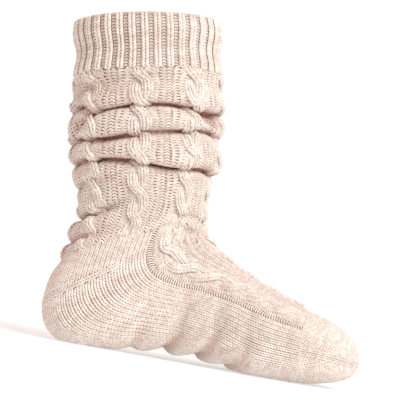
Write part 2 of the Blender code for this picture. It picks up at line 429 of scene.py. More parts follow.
def section_table(shape):
    """Named sections from cuff edge to toe start, a row of eight values for each.

    They are x and z of its back and of its front, half its width, where it is widest,
    and the powers of its outline at the front and at the back.
    """
    up_x = -math.sin(shape.shaft_lean)
    up_z = math.cos(shape.shaft_lean)
    rows = []

    def add_shaft(height, depth, width, forward):
        middle_x = shape.ankle_forward + height * up_x + forward * up_z
        middle_z = shape.ankle_height + height * up_z - forward * up_x
        half = depth / 2.0
        rows.append((
            middle_x - half * up_z, middle_z + half * up_x,
            middle_x + half * up_z, middle_z - half * up_x,
            width / 2.0, SHAFT_WIDEST, SHAFT_POWER, SHAFT_POWER))

    for name, down, depth, width, forward in CUFF_SECTIONS:
        add_shaft(
            shape.shaft_length - down * shape.cuff_height, depth * shape.cuff_depth,
            width * shape.cuff_width, forward * shape.cuff_depth)
    for name, up, depth, width, forward in LEG_SECTIONS:
        add_shaft(
            up * shape.shaft_length, depth * shape.leg_depth,
            width * shape.leg_width, forward * shape.leg_depth)
    add_shaft(0.0, shape.ankle_depth, shape.ankle_width, 0.0)
    for row in FOOT_SECTIONS:
        name, sole_forward, sole_rise, top_forward, top_rise, heel, ball, widest, top, sole = row
        rows.append((
            sole_forward * shape.foot_length, sole_rise * shape.instep_height,
            top_forward * shape.foot_length, top_rise * shape.instep_height,
            (heel * shape.heel_width + ball * shape.ball_width) / 2.0, widest, top, sole))
    return np.array(rows)


def path_lengths(points):
    """Distance along a path at each of its points."""
    steps = np.linalg.norm(np.diff(points, axis=0), axis=1)
    return np.concatenate(([0.0], np.cumsum(steps)))


def smooth_sections(table, marks, distances):
    """Sections at the given distances, on a smooth curve through the named ones."""
    count = len(marks)
    low = np.maximum(np.arange(count) - 1, 0)
    high = np.minimum(np.arange(count) + 1, count - 1)
    slopes = (table[high] - table[low]) / (marks[high] - marks[low])[:, None]
    index = np.clip(np.searchsorted(marks, distances) - 1, 0, count - 2)
    span = (marks[index + 1] - marks[index])[:, None]
    share = ((distances - marks[index])[:, None]) / span
    keep = 2.0 * share ** 3 - 3.0 * share ** 2 + 1.0
    leave = share ** 3 - 2.0 * share ** 2 + share
    arrive = share ** 3 - share ** 2
    return (
        keep * table[index] + (1.0 - keep) * table[index + 1]
        + leave * span * slopes[index] + arrive * span * slopes[index + 1])


def toe_sections(shape, start):
    """Sections of the rounded toe cap, from just past its start to its tip."""
    share = np.sin(np.radians(TOE_END_ANGLE) * np.arange(1, TOE_ROWS + 1) / TOE_ROWS)
    shrink = (1.0 - TOE_TAPER * share) * (1.0 - share ** TOE_POWER) ** (1.0 / TOE_POWER)
    middle = (start[0:2] + start[2:4]) / 2.0
    half = (start[2:4] - start[0:2]) / 2.0
    middle_x = middle[0] + share * (shape.foot_length - middle[0])
    middle_z = middle[1] + share ** 2 * (shape.toe_tip_height - middle[1])
    rows = np.tile(start, (TOE_ROWS, 1))
    rows[:, 0] = middle_x - half[0] * shrink
    rows[:, 1] = middle_z - half[1] * shrink
    rows[:, 2] = middle_x + half[0] * shrink
    rows[:, 3] = middle_z + half[1] * shrink
    rows[:, 4] = start[4] * shrink
    return rows


def ring_points(sections, columns):
    """Points evenly spaced round each section, from the front over the left, and its girth."""
    angle = np.linspace(0.0, math.pi, HALF_RING_POINTS)
    ahead = np.cos(angle)[None, :]
    aside = np.sin(angle)[None, :]
    along = sections[:, 2:4] - sections[:, 0:2]
    depth = np.linalg.norm(along, axis=1)[:, None]
    along = along / depth
    widest = sections[:, 5][:, None]
    centre = sections[:, 0:2] + widest * depth * along
    front = ahead >= 0.0
    power = np.where(front, sections[:, 6][:, None], sections[:, 7][:, None])
    reach = np.where(front, (1.0 - widest) * depth, widest * depth)
    forward = reach * np.sign(ahead) * np.abs(ahead) ** (2.0 / power)
    side = sections[:, 4][:, None] * np.abs(aside) ** (2.0 / power)
    x = centre[:, 0][:, None] + forward * along[:, 0][:, None]
    z = centre[:, 1][:, None] + forward * along[:, 1][:, None]
    half_rings = np.stack((x, side, z), axis=2)
    back = columns // 2 + 1
    share = np.arange(back) / (columns // 2)
    rings = np.empty((len(sections), columns, 3))
    girths = []
    for ring, path in zip(rings, half_rings):
        lengths = path_lengths(path)
        girths.append(lengths[-1] * 2.0)
        for axis, flip in enumerate((1.0, -1.0, 1.0)):
            values = np.interp(share * lengths[-1], lengths, path[:, axis])
            ring[:back, axis] = values
            ring[back:, axis] = flip * values[1:-1][::-1]
    return rings, np.array(girths)


def unit(vectors):
    """Vectors of length 1 in the directions of the given ones."""
    return vectors / np.maximum(np.linalg.norm(vectors, axis=-1, keepdims=True), 1e-12)


def grid_normals(points):
    """Outward unit normals of a grid of points that closes round its columns."""
    down = np.gradient(points, axis=0)
    across = np.roll(points, -1, axis=1) - np.roll(points, 1, axis=1)
    return unit(np.cross(down, across))


def soften_down(grid, passes):
    """Average a grid of directions with the rows above and below, again and again."""
    for _ in range(passes):
        above = np.concatenate((grid[:1], grid[:-1]))
        below = np.concatenate((grid[1:], grid[-1:]))
        grid = 0.25 * above + 0.5 * grid + 0.25 * below
    return unit(grid)


def hump(value, place, breadth):
    """A smooth hump of height 1 at a place, for arrays."""
    return np.exp(-((value - place) / breadth) ** 2)


def ramp(value, span):
    """A straight rise from 0 to 1 over a span of values, for arrays."""
    return np.clip((value - span[0]) / (span[1] - span[0]), 0.0, 1.0)


def add_leg_folds(shape, up, turn, outward, downward, painted_shade):
    """Add what the folds push the leg out and down, in millimetres, and the painted shade of their
    creases.
    """
    for row in LEG_FOLDS:
        name, height, front, side, wave, facing, reach, groove, depth, bulge, droop = row
        centre = height + front * np.cos(turn) - side * np.sin(turn)
        centre = centre + wave * np.sin(CREASE_WAVES * turn + CREASE_SHIFT * height)
        strength = 1.0
        for share, waves, shift in FOLD_RIPPLES:
            strength = strength + share * np.sin(waves * turn + shift * height)
        if reach < 360:
            gap = turn - math.radians(facing)
            share = np.arctan2(np.sin(gap), np.cos(gap)) / math.radians(reach)
            strength = strength * np.clip(1.0 - share ** 2, 0.0, 1.0) ** CREASE_FADE
        above = (up - centre) * shape.shaft_length / MILLIMETRE
        trough = hump(above, 0.0, groove)
        swell = hump(above, SWELL[0] * groove, SWELL[1] * groove)
        outward += strength * (bulge * swell - depth * trough)
        downward += strength * droop * hump(above, SAG[0] * groove, SAG[1] * groove)
        # Painted shade: the trough of a crease darkens its yarn, standing for the shade that falls there
        painted_shade += strength * trough * depth / SHADED_DEPTH


def add_leg_lumps(up, turn, outward):
    """Add the uneven lumps of the slack leg, in millimetres."""
    lumps = LUMP * np.sin(4.0 * turn + 21.0 * up) * np.sin(2.0 * turn - 13.0 * up)
    lumps = lumps + SMALL_LUMP * np.sin(7.0 * turn - 34.0 * up)
    outward += lumps * ramp(up, LUMPS_COME_IN) * (1.0 - ramp(up, LUMPS_FADE_OUT))


def add_sole_wrinkles(forward, turn, outward, painted_shade):
    """Add the wrinkles under the arch, in millimetres, and the painted shade of their troughs."""
    under = np.clip(WRINKLE_STRENGTH * (WRINKLE_REACH - np.cos(turn)), 0.0, 1.0) ** WRINKLE_FADE
    height, beside, breadth = WRINKLE_SWELL
    for name, place, slant, width, depth in SOLE_WRINKLES:
        gap = (forward - place - slant * np.abs(np.sin(turn))) / width
        trough = under * depth * hump(gap, 0.0, 1.0)
        outward += under * height * depth * hump(gap, beside, breadth) - trough
        # Painted shade in the trough of a wrinkle
        painted_shade += trough / SHADED_DEPTH


class KnitSurface:
    """The sock's surface: a grid of rows from cuff to toe, with columns round it.

    A place on it is a row, which may lie between two, and a share of the way
    round, from 0 at the front over the left side to 1 at the front again.
    """

    def __init__(self, shape, gauge):
        self.shape = shape
        self.gauge = gauge
        table = section_table(shape)
        marks = path_lengths((table[:, 0:2] + table[:, 2:4]) / 2.0)
        count = int(round(marks[-1] / GRID_STEP))
        body = smooth_sections(table, marks, np.linspace(0.0, marks[-1], count + 1))
        sections = np.vstack((body, toe_sections(shape, body[-1])))
        self.row_of_distance = count / marks[-1]
        self.toe_row = float(count)
        self.last_row = float(len(sections) - 1)
        self.cuff_end = shape.cuff_height * self.row_of_distance
        foot_rows = marks[-len(FOOT_SECTIONS):] * self.row_of_distance
        rows = {section[0]: row for section, row in zip(FOOT_SECTIONS, foot_rows)}
        self.heel_start = rows["upper heel"]
        self.mitre = rows["heel back"]
        self.heel_end = (1.0 - HEEL_END) * rows["heel seat"] + HEEL_END * rows["heel front"]
        base, self.girth = ring_points(sections, GRID_COLUMNS)
        base[:, :, 2] = np.maximum(base[:, :, 2], 0.0)
        self.points, self.painted_shade = self.fold(base)
        self.points[:, :, 0] += CAD_BOX[1].x - shape.foot_length
        self.normals = grid_normals(self.points)
        self.wall_ways = soften_down(self.normals, WALL_PASSES)
        self.points -= self.normals * gauge.yarn_thickness
        self.points[:, :, 2] = np.maximum(self.points[:, :, 2], gauge.yarn_thickness)

    def fold(self, base):
        """Grid with the slack leg in its folds and the arch in wrinkles, and the painted shade of its
        creases.
        """
        shape = self.shape
        up_way = np.array((-math.sin(shape.shaft_lean), 0.0, math.cos(shape.shaft_lean)))
        ankle = np.array((shape.ankle_forward, 0.0, shape.ankle_height))
        up = (base - ankle) @ up_way / shape.shaft_length
        turn = np.broadcast_to(2.0 * math.pi * np.arange(GRID_COLUMNS) / GRID_COLUMNS, up.shape)
        outward = np.zeros_like(up)
        downward = np.zeros_like(up)
        painted_shade = np.zeros_like(up)
        add_leg_folds(shape, up, turn, outward, downward, painted_shade)
        add_leg_lumps(up, turn, outward)
        add_sole_wrinkles(base[:, :, 0] / shape.foot_length, turn, outward, painted_shade)
        folded = base + grid_normals(base) * outward[:, :, None] * MILLIMETRE
        folded -= up_way * downward[:, :, None] * MILLIMETRE
        folded[:, :, 2] = np.maximum(folded[:, :, 2], 0.0)
        return folded, np.clip(painted_shade, 0.0, 1.0)[:, :, None]

    def sample(self, grid, rows, shares):
        """Values of a grid at places on the surface."""
        rows = np.clip(rows, 0.0, self.last_row - 1e-6)
        low_row = np.floor(rows).astype(int)
        row_part = (rows - low_row)[:, None]
        columns = (np.asarray(shares) % 1.0) * GRID_COLUMNS
        low_column = np.floor(columns).astype(int) % GRID_COLUMNS
        high_column = (low_column + 1) % GRID_COLUMNS
        part = (columns - np.floor(columns))[:, None]
        upper = grid[low_row, low_column] * (1.0 - part) + grid[low_row, high_column] * part
        lower = grid[low_row + 1, low_column] * (1.0 - part) + grid[low_row + 1, high_column] * part
        return upper * (1.0 - row_part) + lower * row_part

    def place(self, rows, shares, lift=0.0):
        """Points and normals at places on the surface, lifted off it."""
        shares = np.broadcast_to(shares, np.shape(rows))
        normals = unit(self.sample(self.normals, rows, shares))
        lifts = np.broadcast_to(lift, np.shape(rows))[:, None]
        return self.sample(self.points, rows, shares) + normals * lifts, normals

    def inner_points(self, rows, shares, lift):
        """Points of the inner face, moved along ways that don't cross in a sharp fold."""
        ways = self.sample(self.wall_ways, rows, shares)
        return self.sample(self.points, rows, shares) + ways * lift[:, None]

    def inner_lift(self):
        """Lift of the inside of the knitting, which lies below the surface."""
        return -(self.gauge.wall - self.gauge.yarn_thickness)

    def shade(self, rows, shares):
        """Painted shade at places on the surface, from 0 to 1, the more the deeper they lie in a fold.
        """
        return self.sample(self.painted_shade, rows, np.broadcast_to(shares, np.shape(rows)))[:, 0]

    def share_of(self, index):
        """Share of the way round of the middle of a stitch, counted from the front."""
        return (index + 0.5) / self.gauge.stitches_round

    def stitches_between(self, index, middle):
        """Stitches from a cable's middle round to the middle of a wale, left positive."""
        half = self.gauge.stitches_round / 2.0
        return (index + 0.5 - middle + half) % self.gauge.stitches_round - half

    def nearest_cable(self, cables, index):
        """The cable nearest to a wale, and whether the wale lies under it."""
        middle = min(cables, key=lambda cable: abs(self.stitches_between(index, cable)))
        return middle, abs(self.stitches_between(index, middle)) < CABLE_STITCHES / 2.0

    def wale_length(self, share, start, end):
        """Fine rows between two rows and the distance along the wale at each."""
        rows = np.linspace(start, end, max(int(abs(end - start) * FINE_STEPS), LEAST_STEPS))
        return rows, path_lengths(self.place(rows, share)[0])

    def even_rows(self, share, start, end, count):
        """Rows that part a wale into a number of stitches of equal length."""
        rows, lengths = self.wale_length(share, start, end)
        return np.interp(np.linspace(0.0, lengths[-1], count + 1), lengths, rows)

    def row_count(self, start, end, shares=MEASURED_WALES):
        """Number of rows of knitting between two rows of the surface, by some of its wales."""
        length = float(np.mean([self.wale_length(share, start, end)[1][-1] for share in shares]))
        return int(round(length / self.gauge.row_height))

    def stitch_width(self, rows):
        """Width of a stitch at rows of the surface."""
        return np.interp(rows, np.arange(len(self.girth)), self.girth) / self.gauge.stitches_round


def sock_surface():
    """The sock's surface for the sizes in the panel."""
    scene = bpy.context.scene
    return KnitSurface(scene.sock_shape, scene.sock_gauge)


def streak_tints(wale, rows, seed):
    """Tint from 0 to 1 of the stitches of a wale; the yarn's streaks run along the rows."""
    knots = np.random.default_rng(seed).random((STREAK_ROWS, STREAK_COLUMNS))
    place = (wale / STREAK_STITCHES) % STREAK_COLUMNS
    low = int(place)
    part = place - low
    smooth = knots[rows, low] * (1.0 - part) + knots[rows, (low + 1) % STREAK_COLUMNS] * part
    own_seed = seed + FIRST_WALE_SEED + int(wale * 2) % WALE_SEEDS
    own = np.random.default_rng(own_seed).random(STREAK_ROWS)[rows]
    tints = 0.5 + STREAK_CONTRAST * (smooth - 0.5) + STITCH_CONTRAST * (own - 0.5)
    return np.clip(tints, 0.0, 1.0)


class StitchList:
    """Stitches gathered for one piece: places, directions, sizes, tints and painted shades."""

    def __init__(self, part):
        self.seed = STREAK_SEEDS[part]
        self.columns = []

    def add_column(self, points, normals, widths, thickness, wale=0.0, shade=0.0, fill=1.0, tilt=0.0):
        """Add a wale: one stitch between each point and the next.

        A stitch fills the given share of the way between its two points, and leans to
        the left by the tilt, in radians.
        """
        if len(points) < 2:
            return
        along = points[:-1] - points[1:]
        height = np.linalg.norm(along, axis=1)
        keep = height > SHORTEST_STITCH
        normal = normals[:-1] + normals[1:]
        left = np.cross(normal / 2.0, along)
        along = along * math.cos(tilt) + left * math.sin(tilt)
        width = (widths[:-1] + widths[1:]) / 2.0
        size = np.stack((width, height * fill, np.full(len(height), thickness)), axis=1)
        tint = streak_tints(wale, np.arange(len(height)) % STREAK_ROWS, self.seed)
        # Painted shade of each stitch, the mean of that of its two points
        painted_shades = np.broadcast_to(shade, len(points))
        depth = (painted_shades[:-1] + painted_shades[1:]) / 2.0
        middle = (points[:-1] + points[1:]) / 2.0
        self.columns.append([values[keep] for values in (middle, normal, along, size, tint, depth)])

    def joined(self):
        """All stitches, one array for each kind of value."""
        return [np.concatenate(values) for values in zip(*self.columns)]


def arch(middle, across, height, sink, shoulder):
    """Row of four points over a strand of yarn; the inner two are a shoulder angle from its top."""
    return [
        (middle[0] + across[0] * math.sin(corner), middle[1] + across[1] * math.sin(corner),
         height * math.cos(corner) - sink)
        for corner in np.radians((-84.0, -shoulder, shoulder, 84.0))]


def leaf_rows(side):
    """One leg of a stitch, a plump leaf that leans outward towards its top."""
    rows = []
    for share in np.linspace(0.0, 1.0, 5):
        swell = max(math.sin(math.pi * (0.06 + 0.88 * share)), 0.0) ** 0.6
        middle = (side * (0.09 + 0.25 * share ** 0.85), -0.80 + 1.55 * share)
        rows.append(arch(middle, (0.215 * swell, 0.0), 1.10 * swell, 0.30, 30.0))
    return rows


def strip_object(name, strips):
    """Mesh object of strips of quads, each a list of rows of points."""
    mesh = bpy.data.meshes.new(name)
    model = bmesh.new()
    for rows in strips:
        vertices = [[model.verts.new(point) for point in row] for row in rows]
        for lower, upper in zip(vertices, vertices[1:]):
            for index in range(len(lower) - 1):
                model.faces.new((lower[index], lower[index + 1], upper[index + 1], upper[index]))
    model.to_mesh(mesh)
    model.free()
    mesh.shade_smooth()
    return bpy.data.objects.new(name, mesh)


def knit_stitch():
    """A knit stitch: two leaves side by side in a V, one unit wide and tall."""
    return strip_object("knit_stitch", (leaf_rows(1.0), leaf_rows(-1.0)))


def purl_stitch():
    """A purl stitch: a loop that arches across the fabric."""
    reach = 0.62
    rows = []
    for x in np.linspace(-reach, reach, 6):
        share = abs(x) / reach
        swell = 0.70 * (1.0 - share ** 3) ** 0.5 + 0.30
        middle = (x, 0.30 * math.cos(math.pi * share * 0.9))
        rows.append(arch(middle, (0.0, 0.44 * swell), 0.30 + 0.72 * swell, 0.20, 28.0))
    return strip_object("purl_stitch", (rows,))


def fill_inputs(tree, node, inputs):
    """Set each named input of a node to a value, or link a socket to it."""
    for name, value in inputs.items():
        if isinstance(value, bpy.types.NodeSocket):
            tree.links.new(value, node.inputs[name])
        else:
            node.inputs[name].default_value = value


def add_node(tree, kind, inputs=None, **settings):
    """Add a node with its settings, and fill its inputs."""
    node = tree.nodes.new(kind)
    for name, value in settings.items():
        setattr(node, name, value)
    fill_inputs(tree, node, inputs or {})
    return node


def new_group(name, kind, inputs, outputs):
    """New node group with named sockets, with the outputs of its start and its end node."""
    group = bpy.data.node_groups.new(name, kind)
    for label, socket, default in inputs:
        made = group.interface.new_socket(label, in_out="INPUT", socket_type="NodeSocket" + socket)
        if default is not None:
            made.default_value = default
    for label, socket in outputs:
        group.interface.new_socket(label, in_out="OUTPUT", socket_type="NodeSocket" + socket)
    return group, add_node(group, "NodeGroupInput").outputs, add_node(group, "NodeGroupOutput")


def stitch_tree():
    """Node tree that sets a stitch on every point, turned and sized to its place."""
    tree = bpy.data.node_groups.get("set_stitches")
    if tree:
        return tree
    tree, start, end = new_group(
        "set_stitches", "GeometryNodeTree",
        (("Places", "Geometry", None), ("Stitch", "Object", None),
         ("Plumpness", "Float", 1.0), ("Yarn", "Material", None)),
        (("Knitting", "Geometry"),))

    def attribute(name):
        node = add_node(
            tree, "GeometryNodeInputNamedAttribute", {"Name": name}, data_type="FLOAT_VECTOR")
        return node.outputs["Attribute"]

    turn = add_node(
        tree, "FunctionNodeAxesToRotation",
        {"Primary Axis": attribute("outward"), "Secondary Axis": attribute("upward")},
        primary_axis="Z", secondary_axis="Y")
    plump = add_node(tree, "ShaderNodeCombineXYZ", {"X": 1.0, "Y": 1.0, "Z": start["Plumpness"]})
    size = add_node(
        tree, "ShaderNodeVectorMath", {0: attribute("size"), 1: plump.outputs["Vector"]},
        operation="MULTIPLY")
    shape = add_node(tree, "GeometryNodeObjectInfo", {"Object": start["Stitch"]})
    put = add_node(tree, "GeometryNodeInstanceOnPoints", {
        "Points": start["Places"], "Instance": shape.outputs["Geometry"],
        "Rotation": turn.outputs["Rotation"], "Scale": size.outputs["Vector"]})
    real = add_node(tree, "GeometryNodeRealizeInstances", {"Geometry": put.outputs["Instances"]})
    paint = add_node(tree, "GeometryNodeSetMaterial", {
        "Geometry": real.outputs["Geometry"], "Material": start["Yarn"]})
    fill_inputs(tree, end, {"Knitting": paint.outputs["Geometry"]})
    return tree


def modifier_input(tree, name):
    """Identifier of a named input of a node tree."""
    for item in tree.interface.items_tree:
        if item.item_type == "SOCKET" and item.in_out == "INPUT" and item.name == name:
            return item.identifier
    raise KeyError(name)


def finish_piece(piece, name):
    """Name a finished piece, let it ride on the frame and stand for the CAD sock."""
    piece.name = name
    piece.data.name = name
    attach(piece, "root")
    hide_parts(SOCK_NODE)


def knit_piece(name, stitches, shape, plumpness=1.0):
    """Turn a list of stitches into one plain mesh of yarn."""
    points, normals, alongs, sizes, tints, shades = stitches.joined()
    places = bpy.data.meshes.new(name + "_places")
    places.from_pydata(points.tolist(), [], [])
    for label, values in (("outward", normals), ("upward", alongs), ("size", sizes)):
        layer = places.attributes.new(label, "FLOAT_VECTOR", "POINT")
        layer.data.foreach_set("vector", values.astype(np.float32).ravel())
    for label, values in (("tint", tints), ("painted_shade", shades)):
        layer = places.attributes.new(label, "FLOAT", "POINT")
        layer.data.foreach_set("value", values.astype(np.float32))
    carrier = bpy.data.objects.new(name + "_places", places)
    scene = bpy.context.scene
    scene.collection.objects.link(carrier)
    scene.collection.objects.link(shape)
    tree = stitch_tree()
    grow = carrier.modifiers.new("stitches", "NODES")
    grow.node_group = tree
    grow[modifier_input(tree, "Stitch")] = shape
    grow[modifier_input(tree, "Plumpness")] = plumpness
    grow[modifier_input(tree, "Yarn")] = knit_material()
    depsgraph = bpy.context.evaluated_depsgraph_get()
    mesh = bpy.data.meshes.new_from_object(carrier.evaluated_get(depsgraph))
    piece = bpy.data.objects.new(name, mesh)
    scene.collection.objects.link(piece)
    bpy.data.objects.remove(carrier, do_unlink=True)
    bpy.data.objects.remove(shape, do_unlink=True)
    if not len(mesh.polygons):
        raise RuntimeError(name + " came out empty")
    finish_piece(piece, name)


def bed_piece(name, beds):
    """Turn the beds under the strands of some cables into one mesh of yarn."""
    piece = strip_object(name, [bed.tolist() for bed in beds])
    bpy.context.scene.collection.objects.link(piece)
    piece.data.materials.append(knit_material())
    finish_piece(piece, name)


def heather_group():
    """Node group for marled yarn: its flecked colour with the painted shade mixed in, and the height of
    its fuzz.
    """
    group = bpy.data.node_groups.get("heather_yarn_effect")
    if group:
        return group
    group, start, end = new_group(
        "heather_yarn_effect", "ShaderNodeTree",
        [(ply, "Color", None) for ply in PLIES]
        + [("Fleck Scale", "Float", FLECK_SCALE), ("Fleck Amount", "Float", 0.5)],
        (("Colour", "Color"), ("Height", "Float")))
    where = add_node(group, "ShaderNodeTexCoord").outputs["Object"]

    def noise(scale, detail):
        inputs = {"Vector": where, "Scale": scale, "Detail": detail}
        return add_node(group, "ShaderNodeTexNoise", inputs).outputs["Fac"]

    def attribute(name):
        return add_node(group, "ShaderNodeAttribute", attribute_name=name).outputs["Fac"]

    masks = {
        "flecks": noise(start["Fleck Scale"], 2.0), "patches": noise(PATCH_SCALE, 3.0),
        "tint": attribute("tint"), "painted_shade": attribute("painted_shade")}
    colour = start["Cream"]
    for mask, low, high, most, ply in HEATHER_STEPS:
        amount = add_node(group, "ShaderNodeMapRange", {
            "Value": masks[mask], "From Min": low, "From Max": high,
            "To Max": most}).outputs["Result"]
        if mask == "flecks":
            amount = add_node(
                group, "ShaderNodeMath", {0: amount, 1: start["Fleck Amount"]},
                operation="MULTIPLY").outputs["Value"]
        inputs = {"Factor": amount, "A": colour, "B": start[ply]}
        colour = add_node(group, "ShaderNodeMix", inputs, data_type="RGBA").outputs["Result"]
    fill_inputs(group, end, {"Colour": colour, "Height": noise(FUZZ_SCALE, 3.0)})
    return group


def yarn_material(name, plies, fleck_amount, bump):
    """Matte marled yarn: its main, lighter and darker colour, and the painted shade brown that stands
    for shade in creases and gaps.
    """
    material = bpy.data.materials.new(name)
    material.use_nodes = True
    material.diffuse_color = (*plies[0], 1.0)
    tree = material.node_tree
    colours = {ply: (*colour, 1.0) for ply, colour in zip(PLIES, plies)}
    heather = add_node(
        tree, "ShaderNodeGroup",
        {**colours, "Fleck Scale": FLECK_SCALE, "Fleck Amount": fleck_amount},
        node_tree=heather_group())
    fuzz = add_node(tree, "ShaderNodeBump", {
        "Strength": bump, "Distance": FUZZ_HEIGHT, "Height": heather.outputs["Height"]}, name="fuzz")
    fill_inputs(tree, tree.nodes["Principled BSDF"], {
        "Base Color": heather.outputs["Colour"], "Normal": fuzz.outputs["Normal"],
        "Roughness": 0.92, "Specular IOR Level": 0.18, "Sheen Weight": 0.15,
        "Sheen Roughness": 0.55, "Sheen Tint": (1.0, 0.93, 0.88, 1.0)})
    return material


def knit_material():
    """The yarn of every visible stitch."""
    yarn = bpy.context.scene.sock_yarn
    found = bpy.data.materials.get("marled_cream_yarn")
    return found or yarn_material(
        "marled_cream_yarn", (yarn.cream, yarn.pale, yarn.tan, yarn.shade),
        fleck_amount=0.55, bump=0.5)


def ground_material():
    """Painted shade: the wall deep between the stitches, in the darker tan flecked with the shade brown,
    standing for the shade there.
    """
    yarn = bpy.context.scene.sock_yarn
    return yarn_material(
        "painted_gap_shade_yarn", (yarn.tan, yarn.shade, yarn.shade, yarn.shade),
        fleck_amount=0.3, bump=0.8)


def loop_relief_group():
    """Node group for the rows of loops on the inside, one stitch to each unit of UV."""
    group, start, end = new_group(
        "inside_loops_effect", "ShaderNodeTree",
        (("Row Weight", "Float", 0.6),), (("Height", "Float"),))
    where = add_node(group, "ShaderNodeUVMap", uv_map="stitches").outputs["UV"]
    inputs = {"Vector": where, "Scale": BAND_SCALE, "Distortion": 0.8, "Detail": 1.0}
    wales, rows = [
        add_node(group, "ShaderNodeTexWave", inputs, bands_direction=way).outputs["Fac"]
        for way in ("X", "Y")]
    both = add_node(group, "ShaderNodeMix", {"Factor": start["Row Weight"], "A": wales, "B": rows})
    fill_inputs(group, end, {"Height": both.outputs["Result"]})
    return group


def inside_material():
    """The inside of the knitting, with the backs of its rows in relief."""
    yarn = bpy.context.scene.sock_yarn
    material = yarn_material(
        "inside_cream_yarn", (yarn.cream, yarn.pale, yarn.tan, yarn.shade),
        fleck_amount=0.5, bump=0.5)
    tree = material.node_tree
    loops = add_node(tree, "ShaderNodeGroup", {"Row Weight": 0.6}, node_tree=loop_relief_group())
    relief = add_node(tree, "ShaderNodeBump", {
        "Strength": 0.9, "Distance": LOOP_HEIGHT, "Height": loops.outputs["Height"]})
    fill_inputs(tree, tree.nodes["fuzz"], {"Normal": relief.outputs["Normal"]})
    return material


def add_wale(stitches, surface, share, rows, lift, width_share=1.0, shade=0.0, fill=1.0, tilt=0.0):
    """Add one wale of stitches along given rows; share may change from row to row."""
    points, normals = surface.place(rows, share, lift)
    widths = surface.stitch_width(rows) * width_share
    wale = float(np.mean(share)) * surface.gauge.stitches_round
    # Painted shade: that of the fold, or the given one where it is more
    shades = np.maximum(surface.shade(rows, share), shade)
    stitches.add_column(
        points, normals, widths, surface.gauge.yarn_thickness, wale, shades, fill, tilt)


# Rows between which cables run, their number of stitches, and the cables' lead
CableRun = namedtuple("CableRun", ("start", "end", "count", "lead"))


def cable_distances(surface, middle, run):
    """Distance along a cable at each of its stitches, counted from a crossing."""
    _, lengths = surface.wale_length(middle / surface.gauge.stitches_round, run.start, run.end)
    return np.linspace(0.0, lengths[-1], run.count + 1) + run.lead


def wales_beyond(gap):
    """Wales between a wale beside a cable and the one next to it."""
    return abs(gap) - CABLE_STITCHES / 2.0 - 0.5


def drawn_in(surface, index, middle, run):
    """Share round and widening of a wale beside a cable, which each crossing draws to itself."""
    gauge = surface.gauge
    gap = surface.stitches_between(index, middle)
    phase = math.pi * cable_distances(surface, middle, run) / gauge.cable_cross
    pull = CABLE_PULL * math.exp(-wales_beyond(gap) / PULL_FADE) * np.sin(phase) ** 2
    share = (index + 0.5 - math.copysign(1.0, gap) * pull) / gauge.stitches_round
    return share, 1.0 + PULL_WIDENING * pull


def add_panel_wale(stitches, surface, index, middle, run, rows):
    """Add a purl wale beside a cable; its stitches hang lower the further they are from it.

    They slant down from the cable, but not in the wale half-way between two cables. The
    wale starts two stitches early and ends two late, because it slides; those that fall
    past its ends have no height and are left out.
    """
    gap = surface.stitches_between(index, middle)
    slide = PANEL_SLANT * wales_beyond(gap)
    width = float(np.mean(surface.stitch_width(rows)))
    tilt = math.atan(PANEL_SLANT * surface.gauge.row_height / width)
    if abs(gap) == (LEG_CABLES[1] - LEG_CABLES[0]) / 2.0:
        tilt = 0.0
    share, widening = drawn_in(surface, index, middle, run)
    count = len(rows) - 1
    steps = np.clip(np.arange(-2, count + 3) + slide, 0, count)
    rows, share, widening = [
        np.interp(steps, np.arange(count + 1), values) for values in (rows, share, widening)]
    add_wale(
        stitches, surface, share, rows, 0.0, widening / math.cos(tilt), PANEL_SHADE,
        tilt=-math.copysign(tilt, gap))


def add_wale_under_cable(stitches, surface, index, rows):
    """Add a purl wale of the fabric that a cable crosses over."""
    add_wale(stitches, surface, surface.share_of(index), rows, -UNDER_CABLE_SINK, UNDER_CABLE_WIDTH)


def strand_path(surface, middle, phase):
    """Share round and lift of a strand of a cable; it waits at the sides and crosses fast."""
    gauge = surface.gauge
    wave = -np.tanh(CROSSING_SHARPNESS * np.cos(phase)) / math.tanh(CROSSING_SHARPNESS)
    over = np.sin(phase)
    lift = STRAND_LIFT + gauge.cable_lift * np.clip(over, 0.0, 1.0) ** STRAND_OVER
    lift = lift - gauge.cable_sink * np.clip(-over, 0.0, 1.0) ** STRAND_UNDER
    return middle / gauge.stitches_round + wave / gauge.stitches_round, lift


def strand_bed(surface, rows, share, lift):
    """Rows of points of the solid bed under a strand, down to the ground at its sides."""
    ground = np.full(len(rows), -BED_SINK)
    strip = []
    for aside, drop in BED_OUTLINE:
        level = ground if drop is None else lift - drop * MILLIMETRE
        shares = share + aside / surface.gauge.stitches_round
        strip.append(surface.place(rows, shares, np.maximum(level, ground))[0])
    return np.stack(strip, axis=1)[::-1]


def add_cable(stitches, beds, surface, middle, run):
    """Add a cable of two strands, each two wales wide, with its beds."""
    gauge = surface.gauge
    rows = surface.even_rows(middle / gauge.stitches_round, run.start, run.end, run.count)
    along = cable_distances(surface, middle, run)
    risen = np.clip(np.minimum(along - along[0], along[-1] - along) / CABLE_END, 0.0, 1.0)
    widths = surface.stitch_width(rows) * CABLE_WIDTH
    for start_phase in (0.0, math.pi):
        phase = math.pi * along / gauge.cable_cross + start_phase
        share, lift = strand_path(surface, middle, phase)
        lift = lift * risen - CABLE_END_SINK * (1.0 - risen)
        beds.append(strand_bed(surface, rows, share, lift))
        for side in (-1.0, 1.0):
            wale_share = share + side * 0.5 / gauge.stitches_round
            points, normals = surface.place(rows, wale_share, lift)
            aside = unit(surface.place(rows, wale_share + side * SIDE_STEP, lift)[0] - points)
            # The strands take the painted shade of the folds they lie in
            stitches.add_column(
                points, normals + STRAND_LEAN * aside, widths, gauge.yarn_thickness * CABLE_WIDTH,
                middle + side * 0.5 + start_phase, surface.shade(rows, wale_share))


def knit_cables(part, surface, cables, run):
    """Knit the cables of a part of the sock as one piece, and their beds as another."""
    stitches = StitchList(part)
    beds = []
    for middle in cables:
        add_cable(stitches, beds, surface, middle, run)
    knit_piece(part + "_cables", stitches, knit_stitch())
    bed_piece(part + "_cable_beds", beds)


